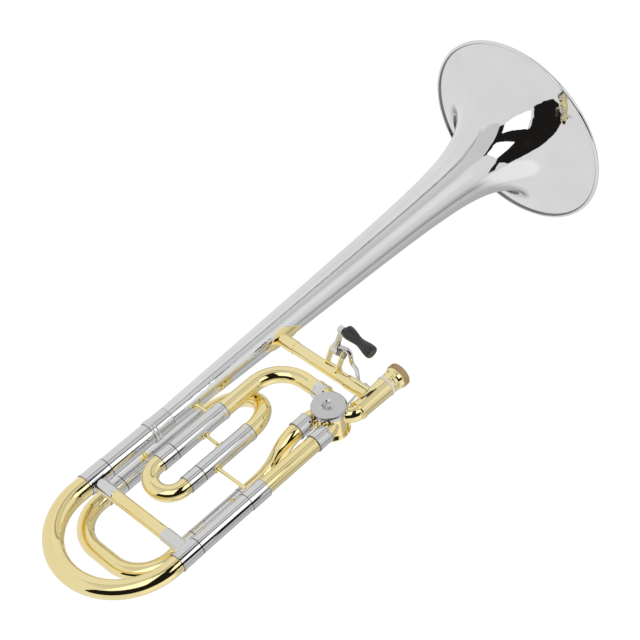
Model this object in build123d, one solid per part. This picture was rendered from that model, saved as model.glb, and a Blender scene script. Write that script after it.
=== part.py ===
from build123d import *
import math
import os

# Bell section of a B-flat/F tenor trombone with a rotary F attachment, in millimetres.
# The origin is the centre of the bell rim. +Z runs along the bell axis towards the tuning
# slide, +X from the bell to the neckpipe, and +Y towards the valve cap.

# ---------------------------------------------------------------- driving dimensions
WALL = 0.5                    # sheet and tube wall
RUN_FIT = 0.05                # radial play of a slide leg in its outer sleeve

# bell
BELL_R = 101.6                # outer radius of the rim, an eight inch bell
RIM_BEAD_R = 1.8              # rolled rim, outside
RIM_WIRE_R = 1.25             # wire inside the rolled rim
RIM_FLAT = 0.15               # flat worn on the underside of the bead
BELL_SHEET = 0.55             # bell sheet thickness
FLARE_END_Z = 150.0           # ring seam between flare and stem
STEM_END_Z = 475.0            # bell stem meets its tail ferrule
TAIL_R = 10.17                # outer radius of the stem at that end
STEM_TAPER = 0.0285           # radius gained per millimetre towards the rim
FLARE_GAIN = 75.3             # extra radius at the rim
FLARE_LENGTH = 31.8           # how quickly the flare dies out
FLARE_POWER = 0.917

# parallel axes of the straight tubes, as (x, y)
BELL = (0.0, 0.0)
NECK = (118.3, 0.0)
RECEIVER = (123.0, 0.0)
F_ONE = (34.0, 4.0)
F_TWO = (66.2, 0.0)
REAR_ONE = (4.0, -26.0)
REAR_TWO = (94.5, -26.0)
RETURN = (97.3, 0.0)

# tube sizes
F_TUBE_R = 7.6                # F attachment tubing, neckpipe and slide legs
F_SLEEVE_R = 8.2              # their outer sleeves
FERRULE_R = 8.5
BELL_LEG_R = 9.25
BELL_SLEEVE_R = 9.8
BELL_FERRULE_R = 10.3

# main tuning slide
BELL_SLEEVE_END_Z = 546.0
NECK_SLEEVE_END_Z = 552.0
BELL_BOW_Z = 570.0            # gold bow leaves the bell side ferrule
NECK_BOW_Z = 574.0
MAIN_BOW_Z = 579.0            # centre of the half circle
BELL_BOW_R = 9.6
NECK_BOW_R = 7.9
MAIN_LEG = 66.0               # leg length inside the sleeve
MAIN_BRACE_Z = 561.0

# F slides
F_SLEEVE_TOP_Z = 440.0
F_SLEEVE_END_Z = 499.0
F_BOW_Z = 519.4
F_LEG = 50.0
REAR_SLEEVE_TWO_TOP_Z = 478.0
REAR_SLEEVE_END_Z = 538.0
REAR_BOW_Z = 565.0
REAR_BOW_CORNER_R = 34.0
REAR_LEG = 52.0
F_FERRULE = 16.0
REAR_FERRULE = 20.0
SOCKET_DEPTH = 6.0            # how far a bend enters a sleeve

# rotary valve, its axis parallel to Y
VALVE_X = 108.0
VALVE_Z = 384.5
CASING_R = 14.6
ROTOR_R = 12.3
CASING_FRONT_Y = 10.5
CASING_BACK_Y = -12.0
CAP_R = 16.0
CAP_FACE_Y = 14.5
KNUCKLE_BEND_R = 14.0
VALVE_FERRULE_Z = 400.8       # ferrules between the valve and its two rear tubes
GOOSENECK_BEND_R = 33.0
RECEIVER_BEND_R = 8.0
GOOSENECK_Z = 370.0
STOP_ARM_R = 11.0             # rotor axis to link pin
LINK_Y = -20.3                # plane of the link

# braces
BRACE_R = 5.75
BRACE_SOCKET_R = 6.3
HAND_BRACE_Z = 347.0
ROD_R = 1.7
SADDLE_T = 1.2                # flange round the bell stem

# thumb lever, hinged parallel to X
LEVER_X = 74.5
LEVER_Y = 18.0
LEVER_Z = 337.3
LEVER_PIN_R = 1.5
LINK_PIN_R = 1.3
LINK_EYE_X = 95.5
LINK_EYE_Z = 330.2

os.makedirs("parts", exist_ok=True)


# ---------------------------------------------------------------- helpers
def save(shape, name):
    """Write one node; several solids in a node stay separate."""
    export_step(shape, f"parts/{name}.step")


def turned(outline, at=(0.0, 0.0)):
    """Solid of revolution about a line parallel to Z, from (radius, z) corners."""
    edge = Polyline(*[(r, 0, z) for r, z in outline], close=True)
    return Pos(at[0], at[1], 0) * revolve(make_face(edge), Axis.Z)


def tube(z0, z1, r_out, r_in, at=(0.0, 0.0)):
    return turned([(r_in, z0), (r_out, z0), (r_out, z1), (r_in, z1)], at)


def ferrule(z0, z1, r_out, r_in, at, bead=0.3, width=1.6):
    """Sleeve with a raised bead at each end."""
    outline = [
        (r_in, z0),
        (r_out + bead, z0),
        (r_out + bead, z0 + width),
        (r_out, z0 + width + bead),
        (r_out, z1 - width - bead),
        (r_out + bead, z1 - width),
        (r_out + bead, z1),
        (r_in, z1),
    ]
    return turned(outline, at)


def swept(path, radius):
    """Round bar along a path."""
    return sweep(Plane(origin=path @ 0, z_dir=path % 0) * Circle(radius), path=path)


def bent_tube(path, r_out, wall=WALL):
    return swept(path, r_out) - swept(path, r_out - wall)


def at_height(axis, z):
    return Vector(axis[0], axis[1], z)


def u_path(axis_a, axis_b, z_a, z_b, z_centre):
    """Down one leg, round a half circle and back up the other leg."""
    a, b = at_height(axis_a, z_centre), at_height(axis_b, z_centre)
    radius = (b - a).length / 2
    side = 1 if z_a < z_centre else -1
    apex = (a + b) * 0.5 + Vector(0, 0, side * radius)
    return Line(at_height(axis_a, z_a), a) + ThreePointArc(a, apex, b) + Line(b, at_height(axis_b, z_b))


def sleeve(axis, z_top, z_open, r_out, leg_r, socket_r=F_TUBE_R):
    """Outer slide sleeve: a fixed tube enters at the top, a slide leg at the open end."""
    bore = leg_r + RUN_FIT
    step = z_top + SOCKET_DEPTH
    outline = [(socket_r, z_top), (r_out, z_top), (r_out, z_open), (bore, z_open), (bore, step), (socket_r, step)]
    return turned(outline, axis)


def x_cylinder(x0, x1, y, z, radius):
    return Pos((x0 + x1) / 2, y, z) * Rot(0, 90, 0) * Cylinder(radius, x1 - x0)


def y_cylinder(y0, y1, x, z, radius):
    return Pos(x, (y0 + y1) / 2, z) * Rot(90, 0, 0) * Cylinder(radius, y1 - y0)


def bell_radius(z):
    """Outer radius of the bell sheet: a straight taper plus a fast-dying flare."""
    taper = TAIL_R + STEM_TAPER * (STEM_END_Z - z)
    reach = max(z - RIM_BEAD_R, 0.0) / FLARE_LENGTH
    return taper + FLARE_GAIN * math.exp(-(reach**FLARE_POWER))


def bell_points(heights, inset):
    """Points of the bell profile, moved inwards by inset at right angles to the sheet."""
    points = []
    for z in heights:
        slope = (bell_radius(z + 0.05) - bell_radius(z)) / 0.05
        length = math.hypot(slope, 1.0)
        points.append((bell_radius(z) - inset / length, z + inset * slope / length))
    return points


def wall_section(heights):
    """Section of the bell sheet, as (radius, height), between two splines."""
    outer = bell_points(heights, 0.0)
    inner = bell_points(heights, BELL_SHEET)
    outline = Spline(*outer) + Line(outer[-1], inner[-1]) + Spline(*inner) + Line(inner[0], outer[0])
    return make_face(outline)


# ---------------------------------------------------------------- bell
def flare():
    """Flare with its rolled rim: room for the wire, and a narrow flat to stand on."""
    bead_at = Pos(BELL_R - RIM_BEAD_R, RIM_BEAD_R - RIM_FLAT)
    bead = bead_at * Circle(RIM_BEAD_R) - Pos(BELL_R, -RIM_BEAD_R) * Rectangle(6 * RIM_BEAD_R, 2 * RIM_BEAD_R)
    heights = [1.9, 4, 7, 11, 16, 23, 32, 43, 58, 78, 105, FLARE_END_Z]
    section = bead + wall_section(heights) - bead_at * Circle(RIM_WIRE_R + 0.02)
    return revolve(Plane.XZ * section, Axis.Z)


def bell():
    wire_section = Pos(BELL_R - RIM_BEAD_R, RIM_BEAD_R - RIM_FLAT) * Circle(RIM_WIRE_R)
    stem_section = wall_section([FLARE_END_Z, 200, 260, 330, 400, STEM_END_Z])
    save(flare(), "bell_flare")
    save(revolve(Plane.XZ * wire_section, Axis.Z), "bell_rim_wire")
    save(revolve(Plane.XZ * stem_section, Axis.Z), "bell_stem")


def bell_tail():
    """Ferrule with two turned rings, and the outer sleeve of the bell side slide leg."""
    inner, body, ring = BELL_SLEEVE_R, BELL_FERRULE_R, BELL_FERRULE_R + 0.7
    outline = [(inner, STEM_END_Z), (body, STEM_END_Z)]
    for z in (492.0, 495.4):
        outline += [(body, z - 1.2), (ring, z - 0.6), (ring, z + 0.6), (body, z + 1.2)]
    outline += [(body, 498.0), (inner, 498.0)]
    save(turned(outline, BELL), "bell_tail_ferrule")
    save(tube(STEM_END_Z, BELL_SLEEVE_END_Z, BELL_SLEEVE_R, BELL_LEG_R + RUN_FIT, BELL), "bell_slide_sleeve")


# ---------------------------------------------------------------- neckpipe side
def neck():
    pipe_end, collar_end = 481.0, 495.4
    pair = [ferrule(VALVE_FERRULE_Z, VALVE_FERRULE_Z + 14.6, FERRULE_R, F_TUBE_R, axis, 0.2) for axis in (NECK, RETURN)]
    save(Compound(children=pair), "valve_tube_ferrules")
    save(tube(VALVE_FERRULE_Z + 3.2, pipe_end, F_TUBE_R, F_TUBE_R - WALL, NECK), "neckpipe")
    collar = [
        (F_TUBE_R, STEM_END_Z),
        (FERRULE_R + 0.2, STEM_END_Z),
        (FERRULE_R + 0.2, collar_end),
        (F_SLEEVE_R, collar_end),
        (F_SLEEVE_R, pipe_end),
        (F_TUBE_R, pipe_end),
    ]
    save(turned(collar, NECK), "neck_sleeve_ferrule")
    save(tube(pipe_end, NECK_SLEEVE_END_Z, F_SLEEVE_R, F_TUBE_R + RUN_FIT, NECK), "neck_slide_sleeve")


def receiver():
    """Slightly conical receiver with a bead at the valve end and a pale ring below the nut."""
    z_valve, z_ring, z_tail = 365.8, 331.0, 312.0
    bore = 7.3
    outline = [
        (bore, z_valve),
        (9.0, z_valve),
        (9.0, z_valve - 2.2),
        (8.4, z_valve - 2.8),
        (9.25, z_ring),
        (8.2, z_ring),
        (8.2, z_tail),
        (bore, z_tail),
    ]
    save(turned(outline, RECEIVER), "receiver_tube")
    save(tube(z_ring - 2.6, z_ring, 9.75, 8.2, RECEIVER), "receiver_ring")


def lock_nut():
    """Turning nut on the receiver, with a groove, a flared collar and a knurled rim."""
    z0, bore = 311.0, 8.5
    body = [
        (bore, 328.0),
        (9.0, 328.0),
        (9.0, 325.6),
        (9.5, 325.2),
        (9.5, 323.8),
        (8.95, 323.2),
        (8.95, 321.8),
        (10.1, 320.6),
        (10.6, 318.0),
        (10.6, 316.9),
        (10.2, 316.9),
        (10.2, z0 + 0.4),
        (bore, z0 + 0.4),
    ]
    save(turned(body, RECEIVER), "receiver_lock_nut")
    rim_r = 10.9
    rim = tube(z0, 316.8, rim_r, 10.2, RECEIVER)
    rib = Pos(RECEIVER[0] + rim_r, RECEIVER[1], (z0 + 316.8) / 2) * Box(0.6, 0.55, 4.6)
    ribs = 48
    for i in range(ribs):
        rim += rib.rotate(Axis(at_height(RECEIVER, 0), (0, 0, 1)), i * 360 / ribs)
    save(rim, "lock_nut_rim")


# ---------------------------------------------------------------- rotary valve
def knuckle_path(offset, end, bend_r, across, along):
    """Out of the valve on a diagonal, then a 45 degree bend to run along an axis.

    across and along are signed unit vectors in the port plane; offset is the distance of
    the tube from the valve axis measured across, end a point further along the tube.
    """
    start = (offset - bend_r * (1 - math.sqrt(0.5))) / math.sqrt(0.5)
    centre = Vector(VALVE_X, 0, VALVE_Z)
    diagonal = (across + along) * math.sqrt(0.5)
    inner = centre + diagonal * min(start, 4.0)
    a = centre + diagonal * start
    b = centre + across * offset + along * (start * math.sqrt(0.5) + bend_r * math.sqrt(0.5))
    mid_angle = math.radians(22.5)
    hub = b - across * bend_r
    m = hub + across * (bend_r * math.cos(mid_angle)) - along * (bend_r * math.sin(mid_angle))
    return Line(inner, a) + ThreePointArc(a, m, b) + Line(b, b + along * end)


X_PLUS, X_MINUS = Vector(1, 0, 0), Vector(-1, 0, 0)
Z_PLUS, Z_MINUS = Vector(0, 0, 1), Vector(0, 0, -1)


def port_paths():
    """Centre lines of the four knuckles, by node name."""
    neck_offset = NECK[0] - VALVE_X
    receiver_offset = RECEIVER[0] - VALVE_X
    goose_offset = VALVE_Z - GOOSENECK_Z
    return_offset = VALVE_X - RETURN[0]
    return {
        "neckpipe_knuckle": knuckle_path(neck_offset, 3.4, KNUCKLE_BEND_R, X_PLUS, Z_PLUS),
        "receiver_knuckle": knuckle_path(receiver_offset, 0.3, RECEIVER_BEND_R, X_PLUS, Z_MINUS),
        "gooseneck_knuckle": knuckle_path(goose_offset, 3.0, 10.0, Z_MINUS, X_MINUS),
        "f_return_knuckle": knuckle_path(return_offset, 3.4, 12.0, X_MINUS, Z_PLUS),
    }


def valve_body():
    solid_casing = y_cylinder(CASING_BACK_Y, CASING_FRONT_Y, VALVE_X, VALVE_Z, CASING_R)
    casing = solid_casing - y_cylinder(CASING_BACK_Y, CASING_FRONT_Y, VALVE_X, VALVE_Z, ROTOR_R + RUN_FIT)
    for name, path in port_paths().items():
        casing -= swept(path, F_TUBE_R - WALL)
        save(bent_tube(path, F_TUBE_R) - solid_casing, name)
    save(casing, "valve_casing")


def valve_ends():
    shaft_hole = 3.05
    front = y_cylinder(9.1, CASING_FRONT_Y, VALVE_X, VALVE_Z, ROTOR_R + RUN_FIT)
    save(front - y_cylinder(9.0, 11.0, VALVE_X, VALVE_Z, shaft_hole), "valve_front_bearing")
    back_y = CASING_BACK_Y - 2.0
    back = y_cylinder(back_y, CASING_BACK_Y, VALVE_X, VALVE_Z, CASING_R)
    back += y_cylinder(CASING_BACK_Y, -9.1, VALVE_X, VALVE_Z, ROTOR_R + RUN_FIT)
    save(back - y_cylinder(back_y, -9.0, VALVE_X, VALVE_Z, shaft_hole), "valve_back_plate")
    save(valve_cap(), "valve_cap")


def valve_cap():
    """Screw cap: a round-edged disc over a short skirt, with a spherical dimple."""
    dimple_r, dimple_depth = 6.2, 2.0
    sphere_r = (dimple_r**2 + dimple_depth**2) / (2 * dimple_depth)
    outline = [
        (0, CASING_FRONT_Y),
        (CASING_R, CASING_FRONT_Y),
        (CASING_R, CASING_FRONT_Y - 2.0),
        (CAP_R - 0.4, CASING_FRONT_Y - 2.0),
        (CAP_R, CASING_FRONT_Y - 1.4),
        (CAP_R, CAP_FACE_Y - 1.4),
        (CAP_R - 0.4, CAP_FACE_Y - 0.55),
        (CAP_R - 1.3, CAP_FACE_Y - 0.2),
        (0, CAP_FACE_Y),
    ]
    cap = turned(outline)
    cap -= Pos(0, 0, CAP_FACE_Y + sphere_r - dimple_depth) * Sphere(sphere_r)
    cap += Pos(0, 0, CAP_FACE_Y - dimple_depth + 0.35) * Cylinder(1.7, 1.1)
    return Pos(VALVE_X, 0, VALVE_Z) * Rot(-90, 0, 0) * cap


def rotor():
    """Rotor with two curved windways, a front pivot and a long back shaft."""
    body = y_cylinder(-9.0, 9.0, VALVE_X, VALVE_Z, ROTOR_R)
    corner = ROTOR_R + 1.0
    for side in (1, -1):
        hub = Vector(VALVE_X + side * corner * math.sqrt(2), 0, VALVE_Z)
        ends = [hub + Vector(-side * corner * math.sqrt(0.5), 0, s * corner * math.sqrt(0.5)) for s in (1, -1)]
        reach = [Vector(side, 0, s) * 3.0 for s in (1, -1)]
        arc = ThreePointArc(ends[0], hub + Vector(-side * corner, 0, 0), ends[1])
        path = Line(ends[0] + reach[0], ends[0]) + arc + Line(ends[1], ends[1] + reach[1])
        section = Plane(origin=path @ 0, x_dir=(0, 1, 0), z_dir=path % 0) * Ellipse(6.6, 4.6)
        body -= sweep(section, path=path)
    body += y_cylinder(9.0, 12.2 - 2.0, VALVE_X, VALVE_Z, 3.0)
    body += y_cylinder(-19.6, -9.0, VALVE_X, VALVE_Z, 3.0)
    save(body, "rotor")


def stop_arm():
    """Arm clamped on the rotor shaft: link pin on one side, stop lug on the other."""
    y0, y1 = -19.3, -16.6
    pin = Vector(VALVE_X - STOP_ARM_R * math.sqrt(0.5), 0, VALVE_Z - STOP_ARM_R * math.sqrt(0.5))
    lug = Vector(VALVE_X + 8.0 * math.sqrt(0.5), 0, VALVE_Z + 8.0 * math.sqrt(0.5))
    arm = y_cylinder(y0, y1, VALVE_X, VALVE_Z, 5.4)
    middle = (pin + lug) * 0.5
    bar = Box((pin - lug).length, y1 - y0, 5.0)
    arm += Pos(middle.X, (y0 + y1) / 2, middle.Z) * Rot(0, -45, 0) * bar
    arm += y_cylinder(y0, y1, pin.X, pin.Z, 3.0) + y_cylinder(y0, y1, lug.X, lug.Z, 2.5)
    arm -= y_cylinder(y0 - 1, y1 + 1, VALVE_X, VALVE_Z, 3.0)
    pin_top = LINK_Y - 2.2
    arm += y_cylinder(pin_top, y0, pin.X, pin.Z, LEVER_PIN_R)
    save(arm, "stop_arm")
    head = y_cylinder(-21.6, -19.6, VALVE_X, VALVE_Z, 4.4)
    slot = Pos(VALVE_X, -21.4, VALVE_Z) * Rot(0, 30, 0) * Box(9.5, 0.9, 1.0)
    save(head - slot, "stop_arm_screw")


def stop_plate():
    """Crescent plate on the valve back with two posts that hold the bumpers."""
    y_back = CASING_BACK_Y - 2.0
    y_face = y_back - 1.4
    ring = y_cylinder(y_face, y_back, VALVE_X, VALVE_Z, 16.8) - y_cylinder(y_face, y_back, VALVE_X, VALVE_Z, 6.5)
    keep = Pos(VALVE_X + 12.0, (y_face + y_back) / 2, VALVE_Z) * Box(18.0, 4.0, 40.0)
    plate = ring & keep
    bumpers = []
    for angle in (82.0, -82.0):
        x = VALVE_X + 9.6 * math.cos(math.radians(angle)) + 2.6
        z = VALVE_Z + 10.4 * math.sin(math.radians(angle))
        plate += y_cylinder(y_face - 0.9, y_face, x, z, 2.9)
        bumpers.append(y_cylinder(-19.6, y_face - 0.9, x, z, 2.2))
    save(plate, "valve_stop_plate")
    save(Compound(children=bumpers), "valve_stop_bumpers")


# ---------------------------------------------------------------- F attachment tubing
def gooseneck():
    x_ferrule, width = 78.9, 10.3
    band = Pos(x_ferrule, 0, GOOSENECK_Z) * Rot(0, 90, 0) * ferrule(0, width, FERRULE_R, F_TUBE_R, (0, 0), 0.2)
    save(band, "gooseneck_ferrule")
    x1, y1 = F_ONE
    points = [
        (x1, y1, F_SLEEVE_TOP_Z + SOCKET_DEPTH),
        (x1, y1, GOOSENECK_Z),
        (x1 + 36.0, 0.0, GOOSENECK_Z),
        (x_ferrule + 4.5, 0.0, GOOSENECK_Z),
    ]
    save(bent_tube(FilletPolyline(*points, radius=[GOOSENECK_BEND_R, 10.0]), F_TUBE_R), "gooseneck")


def f_sleeves():
    tops = ((F_ONE, F_SLEEVE_TOP_Z), (F_TWO, F_SLEEVE_TOP_Z))
    rear_tops = ((REAR_ONE, F_SLEEVE_TOP_Z), (REAR_TWO, REAR_SLEEVE_TWO_TOP_Z))
    sleeves = [sleeve(axis, z, F_SLEEVE_END_Z, F_SLEEVE_R, F_TUBE_R) for axis, z in tops]
    rear_sleeves = [sleeve(axis, z, REAR_SLEEVE_END_Z, F_SLEEVE_R, F_TUBE_R) for axis, z in rear_tops]
    bands = [tube(z + 0.6, z + 5.0, FERRULE_R, F_SLEEVE_R, axis) for axis, z in tops + rear_tops]
    save(Compound(children=sleeves), "small_f_slide_sleeves")
    save(Compound(children=rear_sleeves), "rear_f_slide_sleeves")
    save(Compound(children=bands), "sleeve_end_bands")


def crook():
    """Half circle from the second F sleeve, back to the rear tubing."""
    end = F_SLEEVE_TOP_Z + SOCKET_DEPTH
    save(bent_tube(u_path(F_TWO, REAR_ONE, end, end, F_SLEEVE_TOP_Z), F_TUBE_R), "f_crook")


def f_return():
    """S bend from the rear tubing forward to the valve."""
    points = [
        (*RETURN, VALVE_FERRULE_Z + 3.2),
        (*RETURN, 427.0),
        (*REAR_TWO, 449.0),
        (*REAR_TWO, REAR_SLEEVE_TWO_TOP_Z + SOCKET_DEPTH),
    ]
    save(bent_tube(FilletPolyline(*points, radius=[28.0, 28.0]), F_TUBE_R), "f_return_bend")


# ---------------------------------------------------------------- tuning slides
def slide_leg(axis, z_open, length, radius, into=8.0):
    return tube(z_open - length, z_open + into, radius, radius - WALL, axis)


def small_f_slide():
    start = F_SLEEVE_END_Z + 8.0
    legs = [slide_leg(axis, F_SLEEVE_END_Z, F_LEG, F_TUBE_R) for axis in (F_ONE, F_TWO)]
    end = F_SLEEVE_END_Z + F_FERRULE
    bands = [ferrule(F_SLEEVE_END_Z + 0.3, end, F_SLEEVE_R, F_TUBE_R, axis, 0.15) for axis in (F_ONE, F_TWO)]
    save(Compound(children=legs), "small_f_slide_legs")
    save(Compound(children=bands), "small_f_slide_ferrules")
    save(bent_tube(u_path(F_ONE, F_TWO, start, start, F_BOW_Z), F_TUBE_R), "small_f_slide_bow")


def rear_f_slide():
    start = REAR_SLEEVE_END_Z + 8.0
    legs = [slide_leg(axis, REAR_SLEEVE_END_Z, REAR_LEG, F_TUBE_R) for axis in (REAR_ONE, REAR_TWO)]
    end = REAR_SLEEVE_END_Z + REAR_FERRULE
    bands = [ferrule(REAR_SLEEVE_END_Z + 0.3, end, F_SLEEVE_R, F_TUBE_R, axis, 0.15) for axis in (REAR_ONE, REAR_TWO)]
    save(Compound(children=legs), "rear_f_slide_legs")
    save(Compound(children=bands), "rear_f_slide_ferrules")
    low = REAR_BOW_Z + REAR_BOW_CORNER_R
    points = [(*REAR_ONE, start), (*REAR_ONE, low), (*REAR_TWO, low), (*REAR_TWO, start)]
    save(bent_tube(FilletPolyline(*points, radius=REAR_BOW_CORNER_R), F_TUBE_R), "rear_f_slide_bow")


def tapered_half_turn(inset):
    """Half circle whose section shrinks steadily from the bell side to the neck side."""
    centre = Vector(NECK[0] / 2, 0, MAIN_BOW_Z)
    radius = NECK[0] / 2
    arc = ThreePointArc(
        centre + Vector(-radius, 0, 0), centre + Vector(0, 0, radius), centre + Vector(radius, 0, 0)
    )
    sections = []
    steps = 4
    for i in range(steps + 1):
        t = i / steps
        section_r = BELL_BOW_R + (NECK_BOW_R - BELL_BOW_R) * t - inset
        sections.append(Plane(origin=arc @ t, z_dir=arc % t) * Circle(section_r))
    return sweep(sections, path=arc, multisection=True)


def main_slide_tubes():
    bell_join, neck_join = BELL_BOW_Z - 8.0, NECK_BOW_Z - 8.0
    bow = tapered_half_turn(0.0) - tapered_half_turn(WALL)
    bow += tube(bell_join, MAIN_BOW_Z, BELL_BOW_R, BELL_BOW_R - WALL, BELL)
    bow += tube(neck_join, MAIN_BOW_Z, NECK_BOW_R, NECK_BOW_R - WALL, NECK)
    save(bow, "main_slide_bow")
    bell_leg = tube(BELL_SLEEVE_END_Z - MAIN_LEG, bell_join, BELL_LEG_R, BELL_LEG_R - WALL, BELL)
    neck_leg = tube(NECK_SLEEVE_END_Z - MAIN_LEG, neck_join, F_TUBE_R, F_TUBE_R - WALL, NECK)
    save(bell_leg, "main_slide_leg_bell")
    save(neck_leg, "main_slide_leg_neck")
    save(stepped_ferrule(BELL_SLEEVE_END_Z, bell_join, BELL_BOW_Z, BELL_LEG_R, BELL_BOW_R, BELL), "main_ferrule_bell")
    save(stepped_ferrule(NECK_SLEEVE_END_Z, neck_join, NECK_BOW_Z, F_TUBE_R, NECK_BOW_R, NECK), "main_ferrule_neck")


def stepped_ferrule(z0, z_step, z1, leg_r, bow_r, axis):
    """Ferrule that joins a slide leg to the wider end of the bow."""
    outer = bow_r + 0.5
    outline = [
        (leg_r, z0 + 0.3),
        (outer, z0 + 0.3),
        (outer, z1 - 2.2),
        (outer + 0.3, z1 - 1.9),
        (outer + 0.3, z1),
        (bow_r, z1),
        (bow_r, z_step),
        (leg_r, z_step),
    ]
    return turned(outline, axis)


# ---------------------------------------------------------------- braces
def bar_between(start, end, radius):
    return swept(Line(start, end), radius)


def saddle(axis, tube_r, z, towards, length, width, thickness=0.8):
    """Oval pad that wraps a tube where a rod meets it."""
    ring = tube(z - length / 2, z + length / 2, tube_r + thickness, tube_r, axis)
    plane = Plane(origin=(axis[0], axis[1], z), x_dir=(0, 0, 1), z_dir=towards)
    prism = extrude(plane * Ellipse(length / 2, width / 2), amount=tube_r + thickness + 2)
    return ring & prism


def rod_brace(name, axis_a, radius_a, axis_b, radius_b, z):
    """Thin rod between two parallel tubes with a saddle pad on each."""
    a, b = at_height(axis_a, z), at_height(axis_b, z)
    along = (b - a).normalized()
    pad = 0.8
    start, end = a + along * (radius_a + pad / 2), b - along * (radius_b + pad / 2)
    rod = bar_between(start, end, ROD_R)
    for centre, radius, direction in ((a, radius_a, along), (b, radius_b, along * -1)):
        foot = centre + direction * (radius + pad)
        rod += sweep_cone(foot, direction)
    rod -= extrude(Pos(a.X, a.Y, z - 20) * Circle(radius_a), amount=40)
    rod -= extrude(Pos(b.X, b.Y, z - 20) * Circle(radius_b), amount=40)
    rod += saddle(axis_a, radius_a, z, along, 9.6, 8.0)
    rod += saddle(axis_b, radius_b, z, along * -1, 9.6, 8.0)
    save(rod, name)


def sweep_cone(foot, direction):
    """Small collar that widens a rod where it lands on its pad."""
    return Plane(origin=foot + direction * 0.7, z_dir=direction) * Cone(ROD_R + 1.0, ROD_R, 1.8)


def rod_braces():
    stem_r = bell_radius(444.0)
    rod_brace("brace_bell_to_f", BELL, stem_r, F_ONE, F_SLEEVE_R, 450.0)
    rod_brace("brace_f_to_f", F_ONE, F_SLEEVE_R, F_TWO, F_SLEEVE_R, 469.0)
    rod_brace("brace_f_to_neck", F_TWO, F_SLEEVE_R, NECK, FERRULE_R + 0.2, 486.0)
    rod_brace("brace_rear_to_bell", REAR_ONE, F_SLEEVE_R, BELL, BELL_SLEEVE_R, 509.0)


def main_brace():
    x_bell, x_neck = BELL_BOW_R + 0.5, NECK[0] - NECK_BOW_R - 0.5
    x_a, x_b = 28.0, 89.0
    save(
        x_cylinder(x_a - 8, x_b + 8, 0, MAIN_BRACE_Z, BRACE_R) - x_cylinder(x_a - 8, x_b + 8, 0, MAIN_BRACE_Z, BRACE_R - 0.8),
        "main_slide_brace",
    )
    sockets = []
    for root, tip, step, axis, radius in (
        (0.0, x_a, x_a - 8, BELL, x_bell),
        (NECK[0], x_b, x_b + 8, NECK, NECK[0] - x_neck),
    ):
        low, high = min(root, tip), max(root, tip)
        socket = x_cylinder(low, high, 0, MAIN_BRACE_Z, BRACE_SOCKET_R)
        side = 1 if root == 0.0 else -1
        pad_ring = tube(MAIN_BRACE_Z - 6.6, MAIN_BRACE_Z + 6.6, radius + 0.9, radius, axis)
        window = Pos(root + side * (radius + 0.5), 0, MAIN_BRACE_Z) * Box(2 * radius, 15.0, 14.0)
        socket += pad_ring & window
        socket -= tube(MAIN_BRACE_Z - 20, MAIN_BRACE_Z + 20, radius, 0.0, axis)
        socket -= x_cylinder(min(step, tip), max(step, tip), 0, MAIN_BRACE_Z, BRACE_R)
        sockets.append(socket)
    save(Compound(children=sockets), "main_brace_sockets")


def hand_brace():
    """Tube between bell and receiver that the left hand holds."""
    z = HAND_BRACE_Z
    stem_r = bell_radius(z)
    x_saddle, x_socket, x_collar = stem_r + SADDLE_T, 30.7, 93.0
    x_end = RECEIVER[0] - 9.0
    save(x_cylinder(x_saddle + 4, x_end - 3, 0, z, BRACE_R) - x_cylinder(x_saddle + 4, x_end - 3, 0, z, BRACE_R - 0.8), "hand_brace")
    socket = x_cylinder(2.0, x_socket, 0, z, BRACE_SOCKET_R) - x_cylinder(x_saddle + 4, x_socket, 0, z, BRACE_R)
    reach = 10.0
    cone = [(0, z - reach), (bell_radius(z - reach) + SADDLE_T, z - reach), (bell_radius(z + reach) + SADDLE_T, z + reach)]
    socket -= turned(cone + [(0, z + reach)], BELL)
    collar = x_cylinder(x_collar, x_end + 3, 0, z, BRACE_SOCKET_R + 0.2)
    collar -= x_cylinder(x_collar, x_end - 3, 0, z, BRACE_R)
    collar -= receiver_outside()
    save(Compound(children=[socket, collar]), "hand_brace_sockets")
    save(bell_saddle(), "hand_brace_saddle")


def receiver_outside():
    """Solid cone with the outer shape of the receiver, for fitting the brace collar."""
    outline = [(0, 363.0), (8.4, 363.0), (9.25, 331.0), (0, 331.0)]
    return turned(outline, RECEIVER)


def bell_saddle():
    """Pointed oval flange soldered round the bell stem."""
    half, reach, thickness = 20.5, 9.5, SADDLE_T
    z = HAND_BRACE_Z - 1.5
    low, high = z - half, z + half
    r_low, r_high = bell_radius(low), bell_radius(high)
    ring = turned([(r_low, low), (r_low + thickness, low), (r_high + thickness, high), (r_high, high)], BELL)
    plane = Plane(origin=(0, 0, z), x_dir=(0, 0, 1), z_dir=(1, 0, 0))
    tip, flat = 0.8, 5.0
    corners = [(-half, -tip), (-flat, -reach), (flat, -reach), (half, -tip)]
    corners += [(x, -y) for x, y in reversed(corners)]
    outline = Polyline(*corners, close=True)
    return ring & extrude(plane * make_face(outline), amount=r_low + thickness + 2)


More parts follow.
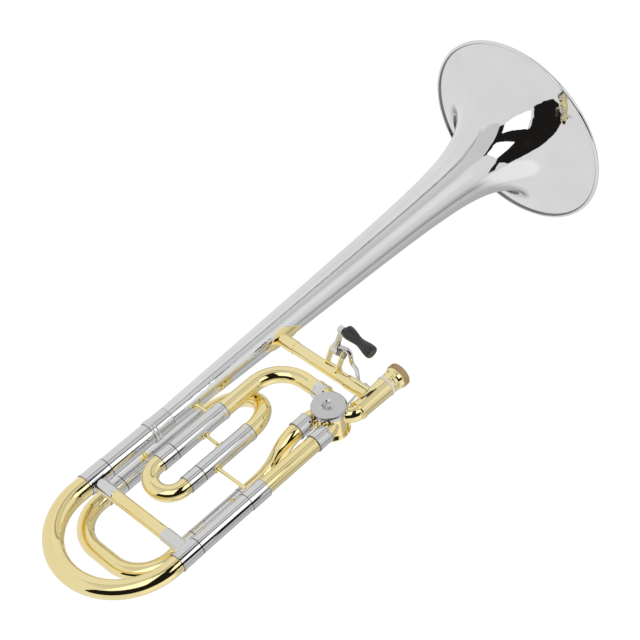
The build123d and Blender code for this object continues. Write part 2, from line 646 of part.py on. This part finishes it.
# ---------------------------------------------------------------- thumb lever
def lever_bracket():
    """Clevis on the hand brace: a saddle and two leaning ears."""
    half, ear = 7.4, 1.5
    x0, x1 = LEVER_X - half, LEVER_X + half
    base = x_cylinder(x0, x1, 0, HAND_BRACE_Z, BRACE_R + 1.4) - x_cylinder(x0, x1, 0, HAND_BRACE_Z, BRACE_R)
    base &= Pos(LEVER_X, 6.0, HAND_BRACE_Z - 1.5) * Box(2 * half, 8.0, 11.0)
    outline = Polyline(
        (4.6, HAND_BRACE_Z + 3.6), (LEVER_Y + 2.3, LEVER_Z + 2.4), (LEVER_Y - 2.3, LEVER_Z - 2.6), (4.6, HAND_BRACE_Z - 5.2),
        close=True,
    )
    blank = Plane.YZ * make_face(outline)
    bracket = base
    for start in (x0, x1 - ear):
        plate = Pos(start, 0, 0) * extrude(blank, amount=ear)
        plate += x_cylinder(start, start + ear, LEVER_Y, LEVER_Z, 3.4)
        bracket += plate - x_cylinder(x0 - 1, x1 + 1, 0, HAND_BRACE_Z, BRACE_R)
    save(bracket - x_cylinder(x0 - 1, x1 + 1, LEVER_Y, LEVER_Z, LEVER_PIN_R), "lever_bracket")
    screw = x_cylinder(x0 - 0.8, x1 + 1.6, LEVER_Y, LEVER_Z, LEVER_PIN_R)
    head = x_cylinder(x1, x1 + 1.7, LEVER_Y, LEVER_Z, 2.9)
    slot = Pos(x1 + 1.5, LEVER_Y, LEVER_Z) * Rot(35, 0, 0) * Box(0.8, 0.8, 6.4)
    save(screw + head - slot, "lever_pivot_screw")


def lever_spring():
    """Torsion spring round the pivot beside the lever hub."""
    coil_r, wire_r, pitch, turns = 2.75, 0.4, 0.95, 3
    x0 = LEVER_X + 2.2
    coil = Helix(pitch=pitch, height=pitch * turns, radius=coil_r, center=(0, 0, 0), direction=(0, 0, 1))
    wire = sweep(Plane(origin=coil @ 0, z_dir=coil % 0) * Circle(wire_r), path=coil)
    save(Pos(x0, LEVER_Y, LEVER_Z) * Rot(0, 90, 0) * wire, "lever_return_spring")


def trigger_lever():
    """Cast lever: hub, upper arm with the grip boss, and a bowed lower arm to the link."""
    hub_x0, hub_x1 = LEVER_X - 5.7, LEVER_X + 1.6
    root = Vector(LEVER_X - 2.0, LEVER_Y + 4.4, LEVER_Z - 1.6)
    boss = Vector(78.2, 44.0, 332.4)
    end = Vector(88.8, LINK_Y, LINK_EYE_Z)
    lever = x_cylinder(hub_x0, hub_x1, LEVER_Y, LEVER_Z, 3.7)
    lever += x_cylinder(root.X - 3.0, root.X + 3.0, root.Y, root.Z, 3.1)
    reach = boss - root
    lever += Plane(origin=(root + boss) * 0.5, z_dir=reach) * Cone(3.0, 2.3, reach.length)
    lever += x_cylinder(75.6, 80.6, boss.Y, boss.Z, 3.4)
    corners = [tuple(root), (84.5, 22.0, 332.0), (88.0, 9.0, 334.6), (88.9, -2.0, 330.6), tuple(end)]
    lever += swept(FilletPolyline(*corners, radius=[6.0, 12.0, 16.0]), 2.0)
    lever += x_cylinder(86.6, 90.2, end.Y, end.Z, 2.9)
    lever += x_cylinder(90.2, 98.4, end.Y, end.Z, LINK_PIN_R)
    lever += x_cylinder(98.4, 99.3, end.Y, end.Z, 3.3)
    lever -= x_cylinder(hub_x0 - 1, hub_x1 + 1, LEVER_Y, LEVER_Z, LEVER_PIN_R + RUN_FIT)
    post = grip_place() * Pos(0, 0, -3.0) * Cylinder(1.8, 31.0, align=(Align.CENTER, Align.CENTER, Align.MIN))
    save(lever + post, "trigger_lever")


def grip_place():
    """Where the thumb grip starts, and its axis."""
    return Pos(82.0, 44.0, 330.6) * Rot(0, 0, -7.0) * Rot(0, 85.0, 0)


def thumb_grip():
    """Waisted rubber roller pushed over the lever's post."""
    length, end_r, waist_r = 33.0, 6.0, 4.1
    round_r = 1.6
    side = Spline((end_r, round_r), (waist_r, length / 2), (end_r, length - round_r), tangents=[(0.1, 1), (-0.1, 1)])
    outline = (
        Line((0, 0), (end_r - round_r, 0))
        + RadiusArc((end_r - round_r, 0), (end_r, round_r), -round_r)
        + side
        + RadiusArc((end_r, length - round_r), (end_r - round_r, length), -round_r)
        + Line((end_r - round_r, length), (0, length))
        + Line((0, length), (0, 0))
    )
    grip = revolve(Plane.XZ * make_face(outline), Axis.Z)
    grip -= Pos(0, 0, -1) * Cylinder(1.8, 29.0, align=(Align.CENTER, Align.CENTER, Align.MIN))
    save(grip_place() * grip, "thumb_grip")


def link_rod():
    """Link from the lever's cross pin to the stop arm's pin."""
    pin_x = VALVE_X - STOP_ARM_R * math.sqrt(0.5)
    pin_z = VALVE_Z - STOP_ARM_R * math.sqrt(0.5)
    low_z = LINK_EYE_Z
    eye_x = LINK_EYE_X
    top = y_cylinder(LINK_Y - 1.0, LINK_Y + 0.7, pin_x, pin_z, 3.5)
    low = x_cylinder(eye_x - 1.1, eye_x + 1.1, LINK_Y - 0.2, low_z, 4.0)
    rod = bar_between((eye_x, LINK_Y - 0.15, low_z), (pin_x, LINK_Y - 0.15, pin_z), 1.1)
    nut_a = Plane(origin=(eye_x + 0.7, LINK_Y - 0.15, low_z + 8.0), z_dir=(pin_x - eye_x, 0, pin_z - low_z))
    link = top + low + rod + nut_a * Cylinder(1.9, 3.0)
    link -= y_cylinder(LINK_Y - 3, LINK_Y + 3, pin_x, pin_z, LEVER_PIN_R + RUN_FIT)
    link -= x_cylinder(eye_x - 3, eye_x + 3, LINK_Y - 0.2, low_z, 2.2)
    save(link, "link_rod")


# ---------------------------------------------------------------- build every node
bell()
bell_tail()
neck()
receiver()
lock_nut()
valve_body()
valve_ends()
rotor()
stop_arm()
stop_plate()
gooseneck()
f_sleeves()
crook()
f_return()
small_f_slide()
rear_f_slide()
main_slide_tubes()
rod_braces()
main_brace()
hand_brace()
lever_bracket()
lever_spring()
trigger_lever()
thumb_grip()
link_rod()
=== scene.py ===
import math

import bpy
from mathutils import Matrix, Vector


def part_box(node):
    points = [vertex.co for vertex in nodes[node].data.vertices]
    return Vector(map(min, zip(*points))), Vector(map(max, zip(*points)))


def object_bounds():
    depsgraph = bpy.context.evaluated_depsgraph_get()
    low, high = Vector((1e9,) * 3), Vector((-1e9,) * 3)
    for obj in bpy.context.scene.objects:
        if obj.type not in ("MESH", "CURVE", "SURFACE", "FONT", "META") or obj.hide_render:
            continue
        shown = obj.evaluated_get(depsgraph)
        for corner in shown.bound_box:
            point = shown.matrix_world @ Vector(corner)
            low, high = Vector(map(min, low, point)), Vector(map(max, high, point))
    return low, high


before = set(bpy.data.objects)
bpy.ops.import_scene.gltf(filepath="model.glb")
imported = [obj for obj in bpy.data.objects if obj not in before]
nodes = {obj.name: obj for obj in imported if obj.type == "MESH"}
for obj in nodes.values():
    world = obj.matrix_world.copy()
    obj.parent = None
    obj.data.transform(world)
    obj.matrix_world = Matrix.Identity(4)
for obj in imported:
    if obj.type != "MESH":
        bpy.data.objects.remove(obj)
size_at_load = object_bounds()

# ------------------------------------------------------------------ driving values, in metres
CAMERA_AT = Vector((0.822009, 1.113087, 0.993314))
RIGHT = Vector((0.7211747, -0.0950902, -0.6861959))
DOWN = Vector((0.4563011, -0.6800997, 0.5738064))
VIEW = Vector((-0.5212450, -0.7269266, -0.4470810))
LENS_MM = 95.625
SENSOR_MM = 36.0

MM = 1 / 1000
MICRON = 1e-6
RIM_GROOVE_INSET = 0.0031     # groove inside the outer edge of the rolled rim
UNSEAMED = -9.0               # a height that no surface reaches
FLOOR_GAP = 0.0004
FLOOR_HALF = 6.0

NICKEL_BELL = ((0.85, 0.85, 0.86), (0.81, 0.81, 0.81))
NICKEL_TUBE = ((0.79, 0.79, 0.80), (0.75, 0.75, 0.75))
NICKEL_CAP = ((0.60, 0.60, 0.60), (0.66, 0.66, 0.66))
GOLD = ((1.0, 0.87, 0.47), (0.98, 0.82, 0.41))
BRASS = ((0.78, 0.60, 0.28), (0.68, 0.49, 0.20))
STEEL = ((0.58, 0.57, 0.56), (0.47, 0.46, 0.45))
BLACK_RUBBER = ((0.012, 0.012, 0.013), (0.022, 0.021, 0.021))
TAN = ((0.42, 0.27, 0.13), (0.55, 0.38, 0.20))
PALE = ((0.72, 0.68, 0.58), (0.82, 0.79, 0.71))
GREY_RUBBER = ((0.03, 0.03, 0.03), (0.05, 0.048, 0.045))
# Colour of the darker band painted along the groove of the bell rim.
RIM_GROOVE_DARK = (0.10, 0.095, 0.09)
FLUX = (0.07, 0.065, 0.06)
WHITE = (1.0, 1.0, 1.0)
WARM = (1.0, 0.93, 0.85)

# Nodes whose two ends show as dark hairlines, and the two that are one polished bell.
SEAMED = (
    "bell_tail_ferrule", "bell_slide_sleeve", "neck_sleeve_ferrule", "neck_slide_sleeve",
    "small_f_slide_sleeves", "small_f_slide_ferrules", "rear_f_slide_sleeves",
    "rear_f_slide_ferrules", "main_ferrule_bell", "main_ferrule_neck", "sleeve_end_bands",
    "valve_tube_ferrules",
)
BELL = ("bell_flare", "bell_stem")

# Brightness of the tent low down, by azimuth in degrees: the long tubes mirror this ring.
LOW_RING = (
    (-180, 0.80), (-146, 0.84), (-140, 0.25), (-134, 0.66), (-116, 0.62), (-112, 0.18),
    (-107, 0.50), (-92, 0.46), (-78, 0.50), (-60, 0.50), (-46, 0.62), (-38, 0.56),
    (-28, 0.46), (-24, 0.26), (-19, 0.46), (-6, 0.62), (-3, 0.70), (15, 0.74),
    (30, 0.86), (50, 0.82), (62, 0.60), (75, 0.64), (92, 0.70), (98, 0.54),
    (101, 0.12), (104, 0.60), (110, 0.84), (145, 0.78), (165, 0.84), (180, 0.80),
)
TENT_LEVEL = 0.76
# Seams of the tent: azimuth and elevation of both ends, width in degrees, and what is left there.
TENT_SEAMS = (
    ((88.0, -26.0), (117.0, 6.0), 1.6, 0.40),
    ((-6.0, -25.0), (-6.0, 5.0), 1.5, 0.75),
)

# Cards beside the camera, in millimetres across and down from the line to the object.
DARK_CARD = (
    (-1352, 1409), (-1400, 1150), (-762, 457), (-238, 428), (-190, 380), (-143, -172),
    (-362, -190), (-362, -305), (286, -305), (286, -225), (48, -190), (114, 266),
    (143, 286), (524, 238), (714, 286), (1048, 1029), (190, 1095),
)
DARK_STRIP = ((330, 238), (520, 205), (760, 330), (1520, 760), (1440, 900), (714, 420))
LEFT_WINDOW = ((-380, -172), (-143, -172), (-190, 380), (-640, 380))
RIGHT_WINDOW = ((48, -190), (257, -240), (552, 209), (114, 266))
CARD_AT, STRIP_AT, WINDOW_AT = 0.900, 0.898, 0.895
# A tall dark flag near the tubes: foot, top, sideways direction, and its half widths in mm.
FLAG_FOOT = Vector((0.476, 0.116, 0.280))
FLAG_TOP = Vector((0.476, 0.116, 0.445))
FLAG_SIDE = Vector((-0.24, 0.97, 0.0)) * MM
FLAG_FOOT_HALF, FLAG_TOP_RIGHT, FLAG_TOP_LEFT = 3, 105, 80


# ------------------------------------------------------------------ camera
def make_camera():
    data = bpy.data.cameras.new("camera")
    data.lens = LENS_MM
    data.sensor_width = SENSOR_MM
    data.clip_start = 0.02
    data.clip_end = 50.0
    camera = bpy.data.objects.new("camera", data)
    bpy.context.scene.collection.objects.link(camera)
    turn = Matrix((RIGHT, -DOWN, -VIEW)).transposed()
    camera.matrix_world = Matrix.Translation(CAMERA_AT) @ turn.to_4x4()
    bpy.context.scene.camera = camera


# ------------------------------------------------------------------ shader helpers
class Tree:
    """Short names for the few shader nodes used below."""

    def __init__(self, owner):
        owner.use_nodes = True
        self.tree = owner.node_tree
        self.tree.nodes.clear()

    def node(self, kind, **settings):
        made = self.tree.nodes.new(kind)
        for key, value in settings.items():
            setattr(made, key, value)
        return made

    def put(self, socket, value):
        if isinstance(value, bpy.types.NodeSocket):
            self.tree.links.new(value, socket)
        else:
            socket.default_value = value

    def finish(self, shader, kind="ShaderNodeOutputMaterial"):
        self.put(self.node(kind).inputs["Surface"], shader.outputs[0])

    def math(self, operation, a, b=0.0, c=0.0):
        made = self.node("ShaderNodeMath", operation=operation)
        for socket, value in zip(made.inputs, (a, b, c)):
            self.put(socket, value)
        return made.outputs[0]

    def multiply_add(self, value, factor, offset):
        return self.math("MULTIPLY_ADD", value, factor, offset)

    def length(self, a, b):
        squares = [self.math("MULTIPLY", side, side) for side in (a, b)]
        return self.math("SQRT", self.math("ADD", *squares))

    def distance(self, a, b):
        return self.math("ABSOLUTE", self.math("SUBTRACT", a, b))

    def split(self, vector):
        made = self.node("ShaderNodeSeparateXYZ")
        self.put(made.inputs[0], vector)
        return made.outputs

    def dot(self, vector, direction):
        made = self.node("ShaderNodeVectorMath", operation="DOT_PRODUCT")
        self.put(made.inputs[0], vector)
        self.put(made.inputs[1], tuple(direction))
        return made.outputs["Value"]

    def span(self, value, low, high, to_low=0.0, to_high=1.0):
        made = self.node("ShaderNodeMapRange", interpolation_type="SMOOTHSTEP")
        for socket, v in zip(made.inputs, (value, low, high, to_low, to_high)):
            self.put(socket, v)
        return made.outputs[0]

    def mix(self, factor, a, b):
        made = self.node("ShaderNodeMix", data_type="RGBA")
        self.put(made.inputs[0], factor)
        self.put(made.inputs[6], (*a, 1.0) if isinstance(a, tuple) else a)
        self.put(made.inputs[7], (*b, 1.0) if isinstance(b, tuple) else b)
        return made.outputs[2]

    def noise(self, where, scale, detail=3.0, stretch=(1.0, 1.0, 1.0), roughness=0.5):
        mapping = self.node("ShaderNodeMapping")
        self.put(mapping.inputs["Vector"], where)
        mapping.inputs["Scale"].default_value = stretch
        made = self.node("ShaderNodeTexNoise")
        self.put(made.inputs["Vector"], mapping.outputs[0])
        made.inputs["Scale"].default_value = scale
        made.inputs["Detail"].default_value = detail
        made.inputs["Roughness"].default_value = roughness
        return made.outputs[0]

    def bump(self, height, distance, strength=1.0, normal=None):
        made = self.node("ShaderNodeBump")
        made.inputs["Strength"].default_value = strength
        made.inputs["Distance"].default_value = distance
        self.put(made.inputs["Height"], height)
        if normal is not None:
            self.put(made.inputs["Normal"], normal)
        return made.outputs[0]


def material(name):
    made = bpy.data.materials.new(name)
    tree = Tree(made)
    shader = tree.node("ShaderNodeBsdfPrincipled")
    tree.finish(shader)
    where = tree.node("ShaderNodeTexCoord").outputs["Object"]
    return made, tree, shader, where


# ------------------------------------------------------------------ materials
def rim_groove(tree, where, shade):
    """Darker band painted along the groove where the bell sheet rolls over its rim wire."""
    x, y, _ = tree.split(where)
    groove_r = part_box("bell_flare")[1][0] - RIM_GROOVE_INSET
    wander = tree.multiply_add(tree.noise(where, 30.0, 2.0), 0.0006, groove_r - 0.0003)
    off = tree.distance(tree.length(x, y), wander)
    # The colour here is darkened along the groove; the band exists only in the colour.
    return tree.mix(tree.span(off, 0.0003, 0.0009, 0.85, 0.0), shade, RIM_GROOVE_DARK)


def solder_lines(tree, where, shade):
    """Dark hairlines where a ferrule or sleeve ends; each node carries those two heights."""
    z = tree.split(where)[2]
    for end in ("seam_low", "seam_high"):
        carried = tree.node("ShaderNodeAttribute", attribute_type="OBJECT", attribute_name=end)
        off = tree.distance(z, carried.outputs["Fac"])
        shade = tree.mix(tree.span(off, 0.0002, 0.0005, 0.8, 0.0), shade, FLUX)
    return shade


def plated(name, colours, rough, coat=0.0, extra=None):
    """Polished metal: colour drift, hazy patches, lines left by buffing, hairline scratches.

    extra, if given, draws more dark marks over the base colour.
    """
    made, tree, shader, where = material(name)
    shade = tree.mix(tree.span(tree.noise(where, 14.0, 2.0), 0.3, 0.7), *colours)
    if extra:
        shade = extra(tree, where, shade)
    tree.put(shader.inputs["Base Color"], shade)
    shader.inputs["Metallic"].default_value = 1.0
    haze = tree.span(tree.noise(where, 38.0, 4.0, roughness=0.65), 0.42, 0.78)
    worn = tree.multiply_add(haze, rough * 0.9, rough * 0.75)
    buff = tree.noise(where, 30.0, 2.0, (1.0, 1.0, 55.0))
    worn = tree.multiply_add(buff, rough * 0.2, worn)
    scratch = tree.span(tree.noise(where, 60.0, 5.0, (1.0, 9.0, 2.5), 0.7), 0.66, 0.70)
    tree.put(shader.inputs["Roughness"], tree.multiply_add(scratch, 0.06, worn))
    normal = tree.bump(tree.noise(where, 55.0, 1.0), 6 * MICRON)
    normal = tree.bump(tree.noise(where, 420.0, 3.0), 1.5 * MICRON, 0.6, normal)
    tree.put(shader.inputs["Normal"], normal)
    shader.inputs["Coat Weight"].default_value = coat
    shader.inputs["Coat Roughness"].default_value = 0.05
    shader.inputs["Coat IOR"].default_value = 1.45
    return made


def turned_nickel(name, colours, node):
    """Satin face with the fine rings of a lathe cut round the node's axis, which is along Y."""
    made, tree, shader, where = material(name)
    low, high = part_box(node)
    x, _, z = tree.split(where)
    across = tree.math("SUBTRACT", x, (low[0] + high[0]) / 2)
    along = tree.math("SUBTRACT", z, (low[2] + high[2]) / 2)
    rings = tree.math("SINE", tree.math("MULTIPLY", tree.length(across, along), 22000.0))
    uneven = tree.noise(where, 160.0, 4.0)
    tree.put(shader.inputs["Base Color"], tree.mix(tree.noise(where, 45.0, 3.0), *colours))
    shader.inputs["Metallic"].default_value = 1.0
    tree.put(shader.inputs["Roughness"], tree.span(uneven, 0.3, 0.75, 0.14, 0.22))
    lines = tree.bump(rings, 1.2 * MICRON, 0.5)
    tree.put(shader.inputs["Normal"], tree.bump(uneven, 1.2 * MICRON, 0.4, lines))
    return made


def plastic(name, colours, rough, grain_scale, grain_depth, coat=0.0):
    """Rubber or plastic: moulded grain, slight colour drift, spots polished by handling."""
    made, tree, shader, where = material(name)
    tree.put(shader.inputs["Base Color"], tree.mix(tree.noise(where, 60.0, 3.0), *colours))
    handled = tree.noise(where, 110.0, 4.0)
    tree.put(shader.inputs["Roughness"], tree.span(handled, 0.3, 0.7, rough * 0.8, rough * 1.25))
    tree.put(shader.inputs["Normal"], tree.bump(tree.noise(where, grain_scale, 4.0), grain_depth))
    shader.inputs["Coat Weight"].default_value = coat
    shader.inputs["Coat Roughness"].default_value = 0.2
    return made


def plain_name(look):
    """Name of a material without the number that Blender adds to a second one of that name."""
    return look.name.split(".")[0]


def make_materials():
    made = (
        plated("nickel_plate", NICKEL_TUBE, 0.030, extra=solder_lines),
        plated("bell_nickel", NICKEL_BELL, 0.030, extra=rim_groove),
        plated("gold_lacquer", GOLD, 0.040, coat=0.2),
        turned_nickel("cap_nickel", NICKEL_CAP, "valve_cap"),
        plastic("grip_black", BLACK_RUBBER, 0.30, 900.0, 20 * MICRON, 0.15),
        plastic("rim_tan", TAN, 0.38, 700.0, 30 * MICRON),
        plastic("ring_pale", PALE, 0.35, 600.0, 10 * MICRON),
        plated("raw_brass", BRASS, 0.16),
        plated("steel", STEEL, 0.18),
        plastic("bumper_rubber", GREY_RUBBER, 0.6, 800.0, 30 * MICRON),
    )
    return {plain_name(look): look for look in made}


def dress_nodes(materials):
    """Each node takes the look named after its slot in the record, and its seam heights."""
    for name, obj in nodes.items():
        low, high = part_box(name)
        seamed = name in SEAMED
        obj["seam_low"] = float(low[2]) if seamed else UNSEAMED
        obj["seam_high"] = float(high[2]) if seamed else UNSEAMED
        slot = plain_name(obj.data.materials[0])
        obj.data.materials.clear()
        obj.data.materials.append(materials["bell_nickel" if name in BELL else slot])


# ------------------------------------------------------------------ studio
def direction(azimuth, elevation):
    a, e = math.radians(azimuth), math.radians(elevation)
    return Vector((math.cos(e) * math.cos(a), math.cos(e) * math.sin(a), math.sin(e)))


def seam(tree, where, start, end, width_deg, depth):
    """Factor that falls from 1 to depth on a thin great-circle line between two directions."""
    a, b = direction(*start), direction(*end)
    across = a.cross(b).normalized()
    middle = (a + b).normalized()
    reach = math.cos(a.angle(middle) + math.radians(2.0))
    off = tree.math("ABSOLUTE", tree.dot(where, across))
    half = math.sin(math.radians(width_deg / 2))
    line = tree.span(off, half * 0.6, half * 1.4, 1.0, 0.0)
    near = tree.span(tree.dot(where, middle), reach - 0.02, reach + 0.02)
    drawn = tree.math("MULTIPLY", line, near)
    return tree.math("SUBTRACT", 1.0, tree.math("MULTIPLY", drawn, 1.0 - depth))


def low_ring(tree, x, y):
    """LOW_RING as a ramp over the azimuth of the direction x, y."""
    place = tree.multiply_add(tree.math("ARCTAN2", y, x), 0.5 / math.pi, 0.5)
    ramp = tree.node("ShaderNodeValToRGB")
    stops = ramp.color_ramp.elements
    stops.remove(stops[-1])
    for i, (azimuth, level) in enumerate(LOW_RING):
        position = azimuth / 360 + 0.5
        stop = stops.new(position) if i else stops[0]
        stop.position = position
        stop.color = (level, level, level, 1.0)
    tree.put(ramp.inputs[0], place)
    return ramp.outputs[0]


def make_world():
    """A white light tent, darker low down; straight behind the object it is plain white."""
    world = bpy.data.worlds.new("tent")
    bpy.context.scene.world = world
    tree = Tree(world)
    where = tree.node("ShaderNodeTexCoord").outputs["Generated"]
    bright_side = tree.span(tree.dot(where, direction(-34.0, 0.0)), 0.86, 0.92, 0.0, 0.14)
    dim_side = tree.span(tree.dot(where, direction(85.0, 0.0)), 0.86, 0.89, 0.0, -0.14)
    cloth = tree.multiply_add(tree.noise(where, 2.2, 2.0), 0.08, TENT_LEVEL)
    level = tree.math("ADD", tree.math("ADD", bright_side, dim_side), cloth)
    for ends_and_depth in TENT_SEAMS:
        level = tree.math("MULTIPLY", level, seam(tree, where, *ends_and_depth))
    x, y, z = tree.split(where)
    is_low = tree.span(z, -0.36, -0.16, 1.0, 0.0)
    level = tree.mix(is_low, level, low_ring(tree, x, y))
    seen = tree.node("ShaderNodeLightPath").outputs["Is Camera Ray"]
    background = tree.node("ShaderNodeBackground")
    tree.put(background.inputs["Color"], tree.mix(seen, level, WHITE))
    tree.finish(background, "ShaderNodeOutputWorld")


def glow(name, brightness, shade=WHITE):
    made = bpy.data.materials.new(name)
    tree = Tree(made)
    light = tree.node("ShaderNodeEmission")
    light.inputs["Color"].default_value = (*shade, 1.0)
    light.inputs["Strength"].default_value = brightness
    tree.finish(light)
    return made


def flat_piece(name, points, look):
    """One flat face through the points, as a piece of the studio."""
    mesh = bpy.data.meshes.new(name)
    mesh.from_pydata([tuple(p) for p in points], [], [tuple(range(len(points)))])
    mesh.materials.append(look)
    made = bpy.data.objects.new(name, mesh)
    bpy.context.scene.collection.objects.link(made)
    return made


def card(name, points, look):
    """A card is seen only in reflections."""
    made = flat_piece(name, points, look)
    made.visible_camera = False
    made.visible_shadow = False
    made.visible_diffuse = False


def facing(corners, forward):
    """Points of a card square to the camera's line, from corners across and down in mm."""
    return [-VIEW * forward + RIGHT * (u * MM) + DOWN * (v * MM) for u, v in corners]


def make_studio():
    card("dark_card", facing(DARK_CARD, CARD_AT), glow("dark_card", 0.012, WARM))
    card("dark_strip", facing(DARK_STRIP, STRIP_AT), glow("dark_strip", 0.015, WARM))
    flag = [
        FLAG_FOOT - FLAG_SIDE * FLAG_FOOT_HALF,
        FLAG_FOOT + FLAG_SIDE * FLAG_FOOT_HALF,
        FLAG_TOP + FLAG_SIDE * FLAG_TOP_RIGHT,
        FLAG_TOP - FLAG_SIDE * FLAG_TOP_LEFT,
    ]
    card("dark_flag", flag, glow("dark_flag", 0.015, WARM))
    bright = glow("window", 1.35)
    card("left_window", facing(LEFT_WINDOW, WINDOW_AT), bright)
    card("right_window", facing(RIGHT_WINDOW, WINDOW_AT), bright)


def make_floor():
    """Pale floor under the bell: it gives off most of its own brightness."""
    made = bpy.data.materials.new("floor")
    tree = Tree(made)
    light = tree.node("ShaderNodeEmission")
    light.inputs["Strength"].default_value = 0.93
    cloth = tree.node("ShaderNodeBsdfDiffuse")
    cloth.inputs["Color"].default_value = (0.16, 0.16, 0.16, 1.0)
    both = tree.node("ShaderNodeAddShader")
    tree.put(both.inputs[0], light.outputs[0])
    tree.put(both.inputs[1], cloth.outputs[0])
    tree.finish(both)
    low = size_at_load[0][2] - FLOOR_GAP
    turns = ((-1, -1), (1, -1), (1, 1), (-1, 1))
    floor = flat_piece("floor", [(x * FLOOR_HALF, y * FLOOR_HALF, low) for x, y in turns], made)
    floor.visible_glossy = False


make_camera()
make_world()
dress_nodes(make_materials())
make_studio()
make_floor()
bpy.context.scene.view_settings.view_transform = "Standard"
